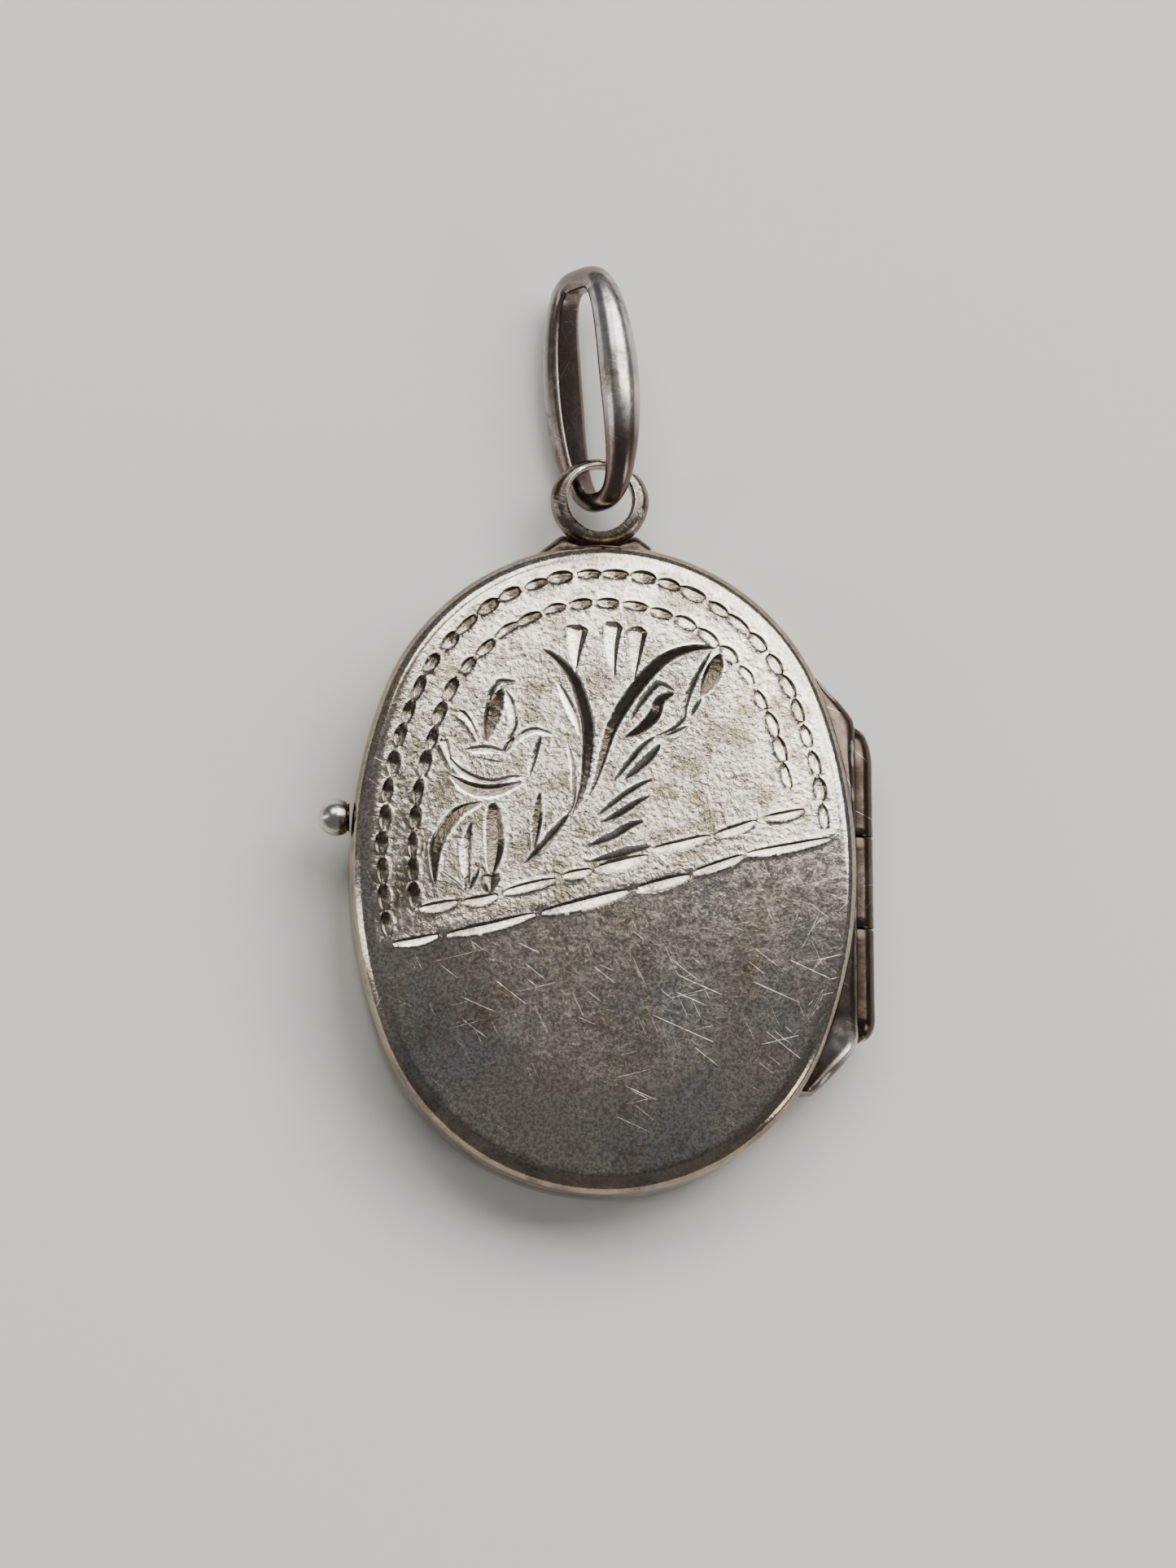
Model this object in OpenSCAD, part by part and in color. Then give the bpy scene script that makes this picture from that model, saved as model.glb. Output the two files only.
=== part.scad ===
// Oval hinged locket lying on its back: two shallow silver pans joined by a side hinge,
// picture frames inside, a soldered eye at the top and a loose tapered bail through it.
// +Z is the front face's normal, +Y runs towards the bail and +X towards the hinge.
// The origin is the centre of the flat back, and the back rests on Z = 0. Millimetres.

/* [Case] */
// Width of the closed case across the short axis
case_w = 19.6; // [19:0.1:20.4]
// Height of the closed case along the long axis
case_h = 25.3; // [24.8:0.1:26]
// Radius of the top and bottom arcs of the oval outline
end_r = 9.17; // [9.05:0.01:9.25]
// Thickness of the closed case, both pans together
case_t = 4.2; // [4.1:0.1:4.6]
// How far the middle of each face stands above its edge roll
face_rise = 0.2; // [0.1:0.05:0.25]
// Radius of the rolled edge around each face
edge_r = 0.65; // [0.5:0.05:0.7]
// Thickness of the side walls
wall_t = 0.4; // [0.35:0.05:0.45]
// Thickness of each face at its middle
face_t = 0.5; // [0.45:0.05:0.55]

/* [Picture frames] */
// Thickness of the clear window over each picture
window_t = 0.3; // [0.2:0.05:0.35]
// Thickness of the backing card behind each window
card_t = 0.15; // [0.1:0.05:0.15]
// Width of each retaining ring, from its outer to its inner edge
ring_w = 0.85; // [0.6:0.05:1]
// How far the snap collar of the back half reaches into the front half
collar_rise = 0.45; // [0.3:0.05:0.5]

/* [Hinge] */
// Outer radius of the hinge barrel
barrel_r = 0.7; // [0.65:0.01:0.72]
// Radius of the bore through the three knuckles
bore_r = 0.36; // [0.34:0.01:0.38]
// Radius of the hinge pin
pin_r = 0.33; // [0.3:0.01:0.33]
// Length of each of the three knuckles
knuckle_l = 3.6; // [3.2:0.1:3.8]
// Height of the middle knuckle's centre along the case, from the case's centre
hinge_y = -0.45; // [-0.8:0.05:0]

/* [Eye and bail] */
// Radius of the hole in the fixed eye
eye_hole_r = 1.28; // [1.2:0.01:1.32]
// Outer radius of the fixed eye
eye_r = 1.95; // [1.85:0.01:2]
// Thickness of the eye from front to back
eye_t = 0.85; // [0.8:0.05:0.9]
// Length of the bail's centre line, from its lowest to its highest point
bail_l = 8.8; // [8.4:0.1:9.4]
// Half of the bail's width between its limbs' centre lines
bail_half_w = 1.68; // [1.66:0.01:1.74]
// Angle that the bail is turned about its long axis, from standing square to the face
bail_turn = 37; // [36:0.5:40]
// Angle that the bail leans towards the thumb ball at rest
bail_lean = 4.5; // [0:0.5:6]
// How far the bail's foot rests towards the hinge from the middle of the eye
bail_shift = 0.05; // [0:0.05:0.2]
// Radius of the bail's section half way up its limbs
bail_mid_r = 0.72; // [0.66:0.01:0.72]

/* [Thumb ball] */
// Radius of the little ball that the lid is lifted by
ball_r = 0.72; // [0.6:0.01:0.75]
// Height of the ball along the case, from the case's centre
ball_y = 1.95; // [1.5:0.05:2.4]

/* [Hidden] */
$fn = 96;

// The outline is a four-arc oval: two side arcs and two end arcs that meet on a common radius.
half_w = case_w / 2;
half_h = case_h / 2;
end_off = half_h - end_r;                 // end arcs' centres lie this far up and down the long axis
side_r = (half_w * half_w + half_h * half_h - 2 * half_h * end_r) / (2 * (half_w - end_r));
side_off = side_r - half_w;               // side arcs' centres lie this far across the short axis
arc_turn = atan2(end_off, side_off);      // half the angle of a side arc
arc_steps = 24;                           // straight steps along a side arc of a filled plate

seam_z = case_t / 2;
half_t = case_t / 2;                      // depth of one pan
roll_top = half_t - face_rise;            // height of the rolled edge above the seam
plate_in = half_t - face_t;               // inner side of the face above the seam
flat_in = 4.4;                            // the face is flat from this far inside the outline
flat_lap = 0.5;
touch = 0.01;                             // overlap of cutting bodies and of parts made as one
seam_chamfer = 0.1;
bulge_h = 0.8;                            // height above the seam where the wall is widest
fit_gap = 0.02;                           // gap between fixed pieces of one half
swing_gap = 0.1;                          // gap between the two halves

seat_in = 1.05;                           // seats of card, window and ring, inside the outline
shelf_in = 1.75;                          // inner edge of the shelf under the card
shelf_low = plate_in - 0.45;              // shelf's height above the seam
card_low = shelf_low - card_t;
window_low = card_low - window_t;
ring_low = 0.2;                           // retaining rings stop this far from the seam
rim_low = 0.1;
collar_in = 0.78;
collar_foot = 0.6;

axis_x = half_w + 0.1;                    // hinge axis stands just outside the wall
barrel_l = 3 * knuckle_l;
barrel_end = barrel_l / 2;
cone_l = 0.8;                             // tapered ends of the outer knuckles
cone_end_r = 0.45;
gutter_r = barrel_r + 0.12;               // clearance around the other half's knuckles
lining_r = barrel_r + 0.25;               // outside of the bearers' gutter, let into the walls
rod_reach = barrel_end + cone_l + swing_gap;
knuckle_gap = 0.05;
bearer_h = 1.25;
bearer_x = axis_x - 0.05;                 // nothing but the barrel stands outside the hinge axis
bearer_taper = 2.6;
fin_start = 2.6;                          // fins begin this far from the hinge's middle
gutter_start = 184;                       // the gutter begins just under the seam side
gutter_turn = 83;                         // angle of the gutter around the barrel
seat_gap = 0.005;                         // gap at soldered joints
rod_over = 2;                             // cutting rods run this far past what they cut

eye_y = half_h + eye_r + 0.12;
base_z0 = 0.6;
base_h = 1.4;
bail_low_r = 0.44;
bail_top_r = 0.56;
bail_steps = 72;
bail_sides = 16;
bail_foot_square = 0.7;                   // below 1 makes the limbs straighter, in the lower half
bail_head_square = 0.55;                  // and in the upper half
bail_swell = 0.86;                        // share of the swell that the limbs' section reaches
bail_wide = 0.1;                          // limbs are this share wider than they are thick
bail_ease = 10;                           // evens out the steps around the loop, in degrees

ball_z = seam_z + 0.75;
ball_out = 0.52;                          // ball's centre outside the widest wall

// ---- Outline helpers ----

// Sweeps a 2D section along the oval: X is the distance outside the outline, Y is the height.
module ovalSweep() {
    for (turn = [0, 180]) rotate([0, 0, turn]) {
        translate([-side_off, 0, 0])
            rotate_extrude(angle = 2 * arc_turn, start = -arc_turn)
                translate([side_r, 0]) children();
        translate([0, end_off, 0])
            rotate_extrude(angle = 180 - 2 * arc_turn, start = arc_turn)
                translate([end_r, 0]) children();
    }
}

// Corner points of the outline moved outwards by grow, arc by arc round from the right side.
function ovalPoints(grow) = [
    for (turn = [0, 180])
        each concat(
            [for (k = [0:arc_steps - 1]) let (q = arc_turn * (2 * k / arc_steps - 1))
                turned([-side_off + (side_r + grow) * cos(q), (side_r + grow) * sin(q)], turn)],
            [for (k = [0:2 * arc_steps - 1]) let (q = arc_turn + (90 - arc_turn) * k / arc_steps)
                turned([(end_r + grow) * cos(q), end_off + (end_r + grow) * sin(q)], turn)])];

function turned(p, turn) = turn == 0 ? p : -p;

module ovalPlate(grow, z0, z1) {
    translate([0, 0, z0]) linear_extrude(z1 - z0) polygon(ovalPoints(grow));
}

// Places a half that is drawn above the seam as the front half, or mirrors it to be the back.
module frontHalf() {
    translate([0, 0, seam_z]) children();
}

module backHalf() {
    translate([0, 0, seam_z]) mirror([0, 0, 1]) children();
}

// Everything within radius r of the hinge axis, over a length along it.
module hingeRod(r, y0, y1) {
    translate([axis_x, hinge_y + y0, 0]) rotate([-90, 0, 0]) cylinder(h = y1 - y0, r = r);
}

// ---- Case ----

// Section of one pan: seam, bulging wall, rolled edge, gently rising face and inner side.
module panSection() {
    roll_steps = 6;
    face_steps = 6;
    roll = [for (k = [0:roll_steps]) let (q = 90 * k / roll_steps)
            [-edge_r + edge_r * cos(q), roll_top - edge_r + edge_r * sin(q)]];
    face_run = flat_in - edge_r;
    face = [for (k = [1:face_steps]) let (s = k / face_steps)
            [-edge_r - face_run * s, roll_top + face_rise * sin(90 * s)]];
    inner_corner = 0.25;
    polygon(concat(
        [[-wall_t, 0], [-seam_chamfer, 0], [-0.03, seam_chamfer + 0.15], [0, bulge_h]],
        roll, face,
        [[-flat_in - flat_lap, half_t], [-flat_in - flat_lap, plate_in],
         [-wall_t - inner_corner, plate_in], [-wall_t, plate_in - inner_corner]]));
}

module pan() {
    difference() {
        union() {
            ovalSweep() panSection();
            ovalPlate(-flat_in - flat_lap / 2, plate_in, half_t);
        }
        hingeRod(lining_r, -rod_reach, rod_reach);
    }
}

module front_cover() {
    color("silver") frontHalf() pan();
}

module back_cover() {
    color("silver") backHalf() pan();
}

// ---- Frames inside each half ----

// Soldered frame with a shelf: outer_low is the height down to which its outer side is full width.
module rim(outer_low, step_in) {
    corner = 0.3;
    difference() {
        ovalSweep() polygon([
            [-step_in, rim_low], [-seat_in, rim_low], [-seat_in, shelf_low],
            [-shelf_in, shelf_low], [-shelf_in, plate_in - fit_gap],
            [-wall_t - corner, plate_in - fit_gap], [-wall_t - fit_gap, plate_in - corner],
            [-wall_t - fit_gap, outer_low], [-step_in, outer_low]]);
        hingeRod(lining_r, -rod_reach, rod_reach);
    }
}

module front_rim() {
    color("gainsboro") frontHalf() rim(collar_rise + swing_gap, collar_in + swing_gap / 2);
}

module back_rim() {
    color("gainsboro") backHalf() rim(collar_foot + fit_gap, collar_in + fit_gap);
}

// Upstanding collar on the back half: the lid snaps over it. It is cut away beside the hinge.
module snap_collar() {
    lead = 0.1;
    snap_in = wall_t + 0.07;              // outer side of the part that enters the lid
    color("white") frontHalf() difference() {
        ovalSweep() polygon([
            [-wall_t - fit_gap, -collar_foot], [-wall_t - fit_gap, -fit_gap],
            [-snap_in, fit_gap], [-snap_in, collar_rise - lead],
            [-snap_in - lead, collar_rise], [-collar_in, collar_rise],
            [-collar_in, -collar_foot]]);
        gap_l = barrel_l + 2 * cone_l + 1;
        translate([half_w - 2.5, hinge_y - gap_l / 2, -half_t]) cube([4, gap_l, case_t]);
    }
}

module card() {
    ovalPlate(-seat_in - fit_gap, card_low + fit_gap / 2, shelf_low - fit_gap / 2);
}

module front_card() {
    color("tan") frontHalf() card();
}

module back_card() {
    color("tan") backHalf() card();
}

module window() {
    ovalPlate(-seat_in - fit_gap, window_low + fit_gap / 2, card_low - fit_gap / 2);
}

module front_window() {
    color("lightcyan") frontHalf() window();
}

module back_window() {
    color("lightcyan") backHalf() window();
}

// Bevelled ring that holds the window and the card in their seat.
module retainingRing() {
    outer_in = seat_in + fit_gap;
    bevel = 0.2;
    ovalSweep() polygon([
        [-outer_in, ring_low + bevel / 2], [-outer_in, window_low - fit_gap / 2],
        [-outer_in - ring_w, window_low - fit_gap / 2],
        [-outer_in - ring_w, ring_low + bevel], [-outer_in - ring_w + bevel, ring_low],
        [-outer_in - bevel / 2, ring_low]]);
}

module front_retaining_ring() {
    color("white") frontHalf() retainingRing();
}

module back_retaining_ring() {
    color("white") backHalf() retainingRing();
}

// ---- Hinge ----

// Tapered fins above and below the hinge, between the curved wall and the straight barrel.
module bearerArea() {
    reach = barrel_end + 0.2;
    tip_x = half_w - 2.5;
    knee = [0.15, 1];                     // the outer corner is cut off in two steps
    shoulder = 0.5;
    difference() {
        translate([0, hinge_y]) for (side = [-1, 1]) polygon([
            [tip_x, side * (reach + bearer_taper)], [bearer_x - knee.x, side * (reach + knee.y)],
            [bearer_x, side * (reach + shoulder)], [bearer_x, side * fin_start],
            [tip_x, side * fin_start]]);
        translate([-side_off, 0]) circle(side_r + touch, $fn = 480);
    }
}

// Gutter that the barrel lies in, let into the wall. It touches only its own half's knuckles.
module bearerGutter(own_knuckles) {
    gap = knuckle_gap / 2;
    y_end = rod_reach - fit_gap;
    seats = [for (k = own_knuckles) let (lo = (k - 0.5) * knuckle_l + gap, hi = lo + knuckle_l - 2 * gap)
        each [[gutter_r, lo], [barrel_r + seat_gap, lo], [barrel_r + seat_gap, hi], [gutter_r, hi]]];
    translate([axis_x, hinge_y, 0]) rotate([-90, 0, 0])
        rotate_extrude(angle = gutter_turn, start = gutter_start)
            polygon(concat([[lining_r - touch, -y_end], [gutter_r, -y_end]], seats,
                           [[gutter_r, y_end], [lining_r - touch, y_end]]));
}

module bearer(own_knuckles) {
    fin_gap = 0.06;                       // the fins stand this far back from the gutter
    difference() {
        translate([0, 0, swing_gap / 2]) linear_extrude(bearer_h) bearerArea();
        hingeRod(gutter_r + fin_gap, -rod_reach - rod_over, rod_reach + rod_over);
    }
    bearerGutter(own_knuckles);
}

module front_hinge_bearer() {
    color("lightsteelblue") frontHalf() bearer([0]);
}

module back_hinge_bearer() {
    color("lightsteelblue") backHalf() bearer([-1, 1]);
}

// One knuckle of the barrel: slot is -1, 0 or 1 along the hinge.
module knuckle(slot) {
    gap = knuckle_gap / 2;
    y0 = (slot - 0.5) * knuckle_l + (slot < 0 ? 0 : gap);
    y1 = (slot + 0.5) * knuckle_l - (slot > 0 ? 0 : gap);
    translate([0, 0, seam_z]) difference() {
        union() {
            hingeRod(barrel_r, y0, y1);
            if (slot != 0)
                translate([axis_x, hinge_y + slot * barrel_end, 0]) rotate([-90 * slot, 0, 0])
                    cylinder(h = cone_l, r1 = barrel_r, r2 = cone_end_r);
        }
        hingeRod(bore_r, y0 - cone_l - rod_over, y1 + cone_l + rod_over);
    }
}

module hinge_knuckle_upper() {
    color("slategray") knuckle(1);
}

module hinge_knuckle_middle() {
    color("lightslategray") knuckle(0);
}

module hinge_knuckle_lower() {
    color("slategray") knuckle(-1);
}

module hinge_pin() {
    color("dimgray") translate([0, 0, seam_z]) hingeRod(pin_r, -barrel_end - cone_l, barrel_end + cone_l);
}

// ---- Eye and bail ----

// Bead-like ring with a chamfered hole, its axis square to the face.
module bail_eye() {
    chamfer = 0.12;
    bead_steps = 10;
    bead = 0.53;                          // the bead is rounded over this width
    crown = eye_r - bead;
    color("silver") translate([0, eye_y, seam_z]) rotate_extrude() polygon(concat(
        [[eye_hole_r, -eye_t / 2 + chamfer], [eye_hole_r + chamfer, -eye_t / 2]],
        [for (k = [0:bead_steps]) let (q = -90 + 180 * k / bead_steps)
            [crown + (eye_r - crown) * cos(q), eye_t / 2 * sin(q)]],
        [[eye_hole_r + chamfer, eye_t / 2], [eye_hole_r, eye_t / 2 - chamfer]]));
}

// Saddle soldered on top of the back half, under the eye.
module eye_base() {
    foot_half = 3.6;
    waist_half = 2.5;
    neck_half = 1.7;
    foot_y = half_h - 0.68;
    waist_y = half_h - 0.1;
    neck_y = half_h + 0.75;
    root_y = half_h - 1.2;
    color("silver") translate([0, 0, base_z0]) difference() {
        linear_extrude(base_h) difference() {
            polygon([
                [-foot_half, root_y], [-foot_half, foot_y], [-waist_half, waist_y],
                [-neck_half, neck_y], [neck_half, neck_y], [waist_half, waist_y],
                [foot_half, foot_y], [foot_half, root_y]]);
            translate([0, end_off]) circle(end_r + touch);
        }
        translate([0, eye_y, -1]) cylinder(h = base_h + 2, r = eye_r + seat_gap);
    }
}

// Centre line of the bail: q runs once round the loop from its lowest point.
function bailCentre(q) =
    let (square = cos(q) > 0 ? bail_foot_square : bail_head_square,
         across = bail_half_w * sign(sin(q)) * pow(abs(sin(q)), square))
    [across * sin(bail_turn), bail_l / 2 * (1 - cos(q)), across * cos(bail_turn)];

function bailRadius(q) =
    let (up = (1 - cos(q)) / 2, swell = sin(180 * up))
    bail_low_r + (bail_top_r - bail_low_r) * up + (bail_mid_r - bail_low_r) * swell * bail_swell;

function unit(v) = v / norm(v);

// Steps are even in the loop's angle, eased so that the limbs' ends are not coarse.
function bailAngle(k) = 360 * k / bail_steps - bail_ease * sin(720 * k / bail_steps);

function bailRing(k) =
    let (q = bailAngle(k),
         along = unit(bailCentre(bailAngle(k + 0.5)) - bailCentre(bailAngle(k - 0.5))),
         flat = [cos(bail_turn), 0, -sin(bail_turn)],
         out = cross(flat, along),
         wide = 1 + bail_wide * pow(sin(q), 2))
    [for (j = [0:bail_sides - 1]) let (s = 360 * j / bail_sides)
        bailCentre(q) + bailRadius(q) * (out * cos(s) + flat * (wide * sin(s)))];

// Loose tapered loop through the eye.
module bail() {
    rings = [for (k = [0:bail_steps - 1]) each bailRing(k)];
    count = bail_steps * bail_sides;
    faces = [for (k = [0:bail_steps - 1], j = [0:bail_sides - 1])
        let (a = k * bail_sides + j, b = k * bail_sides + (j + 1) % bail_sides)
        [a, b, (b + bail_sides) % count, (a + bail_sides) % count]];
    color("darkgray") translate([0, eye_y, seam_z]) rotate([0, 0, bail_lean])
        translate([bail_shift, 0, 0]) polyhedron(rings, faces, convexity = 4);
}

// ---- Thumb ball ----

// Ball soldered to the lid's edge, flattened where it meets the wall.
module thumb_ball() {
    color("silver") difference() {
        translate([-half_w - ball_out, ball_y, ball_z]) sphere(ball_r);
        translate([-half_w - 0.01, ball_y - 2, ball_z - 2]) cube([3, 4, 4]);
    }
}

back_cover();
back_rim();
snap_collar();
back_card();
back_window();
back_retaining_ring();
back_hinge_bearer();
hinge_knuckle_upper();
hinge_knuckle_lower();
hinge_pin();
eye_base();
bail_eye();
front_cover();
front_rim();
front_card();
front_window();
front_retaining_ring();
front_hinge_bearer();
hinge_knuckle_middle();
thumb_ball();
bail();
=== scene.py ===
import math
import random

import bpy
import numpy as np
from mathutils import Euler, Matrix, Vector, geometry, kdtree, noise


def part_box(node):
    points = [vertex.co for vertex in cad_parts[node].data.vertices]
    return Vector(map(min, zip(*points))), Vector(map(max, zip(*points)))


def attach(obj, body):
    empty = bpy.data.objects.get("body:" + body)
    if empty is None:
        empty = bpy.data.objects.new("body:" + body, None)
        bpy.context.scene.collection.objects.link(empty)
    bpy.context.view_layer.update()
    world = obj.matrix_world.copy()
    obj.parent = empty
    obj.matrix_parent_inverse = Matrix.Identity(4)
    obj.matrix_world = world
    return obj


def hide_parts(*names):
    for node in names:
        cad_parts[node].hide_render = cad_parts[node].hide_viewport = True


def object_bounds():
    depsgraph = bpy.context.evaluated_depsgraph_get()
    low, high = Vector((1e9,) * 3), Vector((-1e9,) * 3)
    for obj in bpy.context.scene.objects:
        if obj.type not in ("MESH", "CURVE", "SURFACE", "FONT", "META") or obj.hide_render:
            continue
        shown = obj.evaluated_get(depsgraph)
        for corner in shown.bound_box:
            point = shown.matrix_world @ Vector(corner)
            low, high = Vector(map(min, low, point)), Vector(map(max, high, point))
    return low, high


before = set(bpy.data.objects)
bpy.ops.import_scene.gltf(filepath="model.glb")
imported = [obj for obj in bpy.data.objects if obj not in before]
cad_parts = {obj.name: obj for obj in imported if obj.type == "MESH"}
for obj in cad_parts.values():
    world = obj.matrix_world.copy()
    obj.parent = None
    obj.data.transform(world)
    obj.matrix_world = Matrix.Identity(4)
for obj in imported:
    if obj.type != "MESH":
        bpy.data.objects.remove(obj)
cadLow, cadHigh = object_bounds()
mm = 0.001
print("frame loaded")

# The camera looks down on the locket, a little from below and from the left
cameraView = {"place": (-16.36, -31.61, 217.13), "turn": (9.256, -4.169, -0.285), "lens": 129.04,
              "sensor": 36, "near": 0.005, "far": 10}

cameraData = bpy.data.cameras.new("camera")
cameraData.lens = cameraView["lens"]
cameraData.sensor_width = cameraView["sensor"]
cameraData.clip_start = cameraView["near"]
cameraData.clip_end = cameraView["far"]
camera = bpy.data.objects.new("camera", cameraData)
camera.location = Vector(cameraView["place"]) * mm
camera.rotation_euler = Euler([math.radians(angle) for angle in cameraView["turn"]], "XYZ")
bpy.context.scene.collection.objects.link(camera)
bpy.context.scene.camera = camera
print("camera placed")


# Each input is linked from another socket, or set to a plain value
def setInputs(tree, node, values):
    for key, value in values.items():
        if isinstance(value, bpy.types.NodeSocket):
            tree.links.new(value, node.inputs[key])
        else:
            node.inputs[key].default_value = value


def addNode(tree, kind, inputs=None, **settings):
    node = tree.nodes.new(kind)
    for name, value in settings.items():
        setattr(node, name, value)
    setInputs(tree, node, inputs or {})
    return node


def mathNode(tree, operation, first, second=0.0, third=0.0):
    return addNode(tree, "ShaderNodeMath", {0: first, 1: second, 2: third}, operation=operation).outputs[0]


def spanNode(tree, value, low, high, toLow=0.0, toHigh=1.0, smooth=True):
    span = {"Value": value, "From Min": low, "From Max": high, "To Min": toLow, "To Max": toHigh}
    way = "SMOOTHSTEP" if smooth else "LINEAR"
    return addNode(tree, "ShaderNodeMapRange", span, interpolation_type=way).outputs["Result"]


def mixNode(tree, factor, first, second, blend="MIX"):
    return addNode(tree, "ShaderNodeMix", {0: factor, 6: first, 7: second},
                   data_type="RGBA", blend_type=blend).outputs[2]


# Mixes a tint into a colour where the mask is, at most as much as strength says
def tintNode(tree, mask, strength, colour, tint, blend="MIX"):
    return mixNode(tree, mathNode(tree, "MULTIPLY", mask, strength), colour, tint, blend)


def noiseNode(tree, vector, scale, detail=2.0, roughness=0.5, distortion=0.0):
    values = {"Vector": vector, "Scale": scale, "Detail": detail, "Roughness": roughness,
              "Distortion": distortion}
    return addNode(tree, "ShaderNodeTexNoise", values).outputs["Fac"]


def newGroup(name, ins, outs):
    tree = bpy.data.node_groups.new(name, "ShaderNodeTree")
    for label, kind, value in ins:
        socket = tree.interface.new_socket(name=label, in_out="INPUT", socket_type="NodeSocket" + kind)
        if value is not None:
            socket.default_value = value
    for label in outs:
        tree.interface.new_socket(name=label, in_out="OUTPUT", socket_type="NodeSocketFloat")
    return tree, tree.nodes.new("NodeGroupInput").outputs, tree.nodes.new("NodeGroupOutput").inputs


# Short straight scratches, thin and at random; each run has an angle, a scale and an offset
scratchLook = {
    "runs": [(24, 0.8, 0.0), (38, 1.2, 3.1), (-14, 1.0, 7.7), (66, 1.5, 11.3), (117, 1.1, 17.9),
             (-48, 2.3, 5.3)],
    "along": 0.36, "across": 26, "reach": 0.36, "blur": 0.12, "bend": 0.3,
}


def makeScratchGroup():
    ins = [("Vector", "Vector", None), ("Scale", "Float", 1.0), ("Amount", "Float", 0.5)]
    tree, given, result = newGroup("fineScratches", ins, ["Mask"])
    bend = noiseNode(tree, given["Vector"], scratchLook["bend"])
    rarity = mathNode(tree, "SUBTRACT", 1.0, given["Amount"])
    total = 0.0
    for angle, scale, shift in scratchLook["runs"]:
        way = {"Vector": given["Vector"], "Location": (shift, shift, 0),
               "Rotation": (0, 0, math.radians(angle))}
        turned = addNode(tree, "ShaderNodeMapping", way).outputs[0]
        stretch = (scratchLook["along"] * scale, scratchLook["across"] * scale, 0.5)
        place = addNode(tree, "ShaderNodeMapping", {"Vector": turned, "Scale": stretch}).outputs[0]
        moved = addNode(tree, "ShaderNodeVectorMath", {0: place, 1: bend}, operation="ADD").outputs[0]
        cells = addNode(tree, "ShaderNodeTexVoronoi", {"Vector": moved, "Scale": given["Scale"]}).outputs
        chance = addNode(tree, "ShaderNodeSeparateColor", {0: cells["Color"]}).outputs[0]
        reach = spanNode(tree, chance, rarity, 1.0, 0.0, scratchLook["reach"], False)
        line = spanNode(tree, mathNode(tree, "SUBTRACT", reach, cells["Distance"]), 0.0, scratchLook["blur"])
        total = mathNode(tree, "MAXIMUM", line, total)
    tree.links.new(total, result["Mask"])
    return tree


# Uneven tarnish: broad patches broken up by finer mottling
def makeTarnishGroup():
    ins = [("Vector", "Vector", None), ("Scale", "Float", 0.3), ("Amount", "Float", 0.5)]
    tree, given, result = newGroup("tarnishPatches", ins, ["Mask", "Mottle"])
    broad = noiseNode(tree, given["Vector"], given["Scale"], 4.0, 0.6, 0.4)
    fineScale = mathNode(tree, "MULTIPLY", given["Scale"], 7.0)
    fine = noiseNode(tree, given["Vector"], fineScale, 5.0, 0.7)
    both = mathNode(tree, "MULTIPLY_ADD", fine, 0.35, mathNode(tree, "MULTIPLY", broad, 0.65))
    level = mathNode(tree, "MULTIPLY_ADD", given["Amount"], -0.4, 0.7)
    mask = spanNode(tree, both, mathNode(tree, "SUBTRACT", level, 0.1), mathNode(tree, "ADD", level, 0.12))
    tree.links.new(mask, result["Mask"])
    tree.links.new(fine, result["Mottle"])
    return tree


# Brighter metal where raised edges have been rubbed, and a dark line in creases
def makeWearGroup():
    ins = [("Vector", "Vector", None), ("Amount", "Float", 0.5)]
    tree, given, result = newGroup("edgeWear", ins, ["Wear", "Grime"])
    point = addNode(tree, "ShaderNodeNewGeometry").outputs["Pointiness"]
    rough = noiseNode(tree, given["Vector"], 1.5, 4.0)
    edge = mathNode(tree, "MULTIPLY_ADD", rough, 0.03, point)
    for label, low, high in (("Wear", 0.525, 0.6), ("Grime", 0.505, 0.44)):
        mask = mathNode(tree, "MULTIPLY", spanNode(tree, edge, low, high), given["Amount"])
        tree.links.new(mask, result[label])
    return tree


# Height of a softly hammered, matted ground
def makeGroundGroup():
    ins = [("Vector", "Vector", None), ("Scale", "Float", 3.0)]
    tree, given, result = newGroup("softGround", ins, ["Height"])
    swell = noiseNode(tree, given["Vector"], given["Scale"], 3.0, 0.55, 0.3)
    grain = noiseNode(tree, given["Vector"], mathNode(tree, "MULTIPLY", given["Scale"], 5.0), 3.0, 0.6)
    tree.links.new(mathNode(tree, "MULTIPLY_ADD", grain, 0.25, swell), result["Height"])
    return tree


shaderGroups = {"scratch": makeScratchGroup(), "tarnish": makeTarnishGroup(), "wear": makeWearGroup(),
                "ground": makeGroundGroup()}


def useGroup(tree, name, **values):
    return addNode(tree, "ShaderNodeGroup", values, node_tree=shaderGroups[name]).outputs


# A new material with its shader, and each point's place in millimetres
def newMaterial(name):
    material = bpy.data.materials.new(name)
    material.use_nodes = True
    tree = material.node_tree
    tree.nodes.clear()
    shader = tree.nodes.new("ShaderNodeBsdfPrincipled")
    out = tree.nodes.new("ShaderNodeOutputMaterial")
    tree.links.new(shader.outputs[0], out.inputs["Surface"])
    spot = addNode(tree, "ShaderNodeTexCoord").outputs["Object"]
    place = addNode(tree, "ShaderNodeMapping", {"Vector": spot, "Scale": (1 / mm, 1 / mm, 1 / mm)})
    return material, tree, shader, place.outputs[0]


# Joins colour, roughness and the bump of a height to the shader; relief is in millimetres
def dressShader(tree, shader, colour, roughness, height, strength, relief):
    bump = addNode(tree, "ShaderNodeBump", {"Strength": strength, "Distance": relief * mm, "Height": height})
    setInputs(tree, shader, {"Base Color": colour, "Roughness": roughness, "Normal": bump.outputs["Normal"]})


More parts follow.
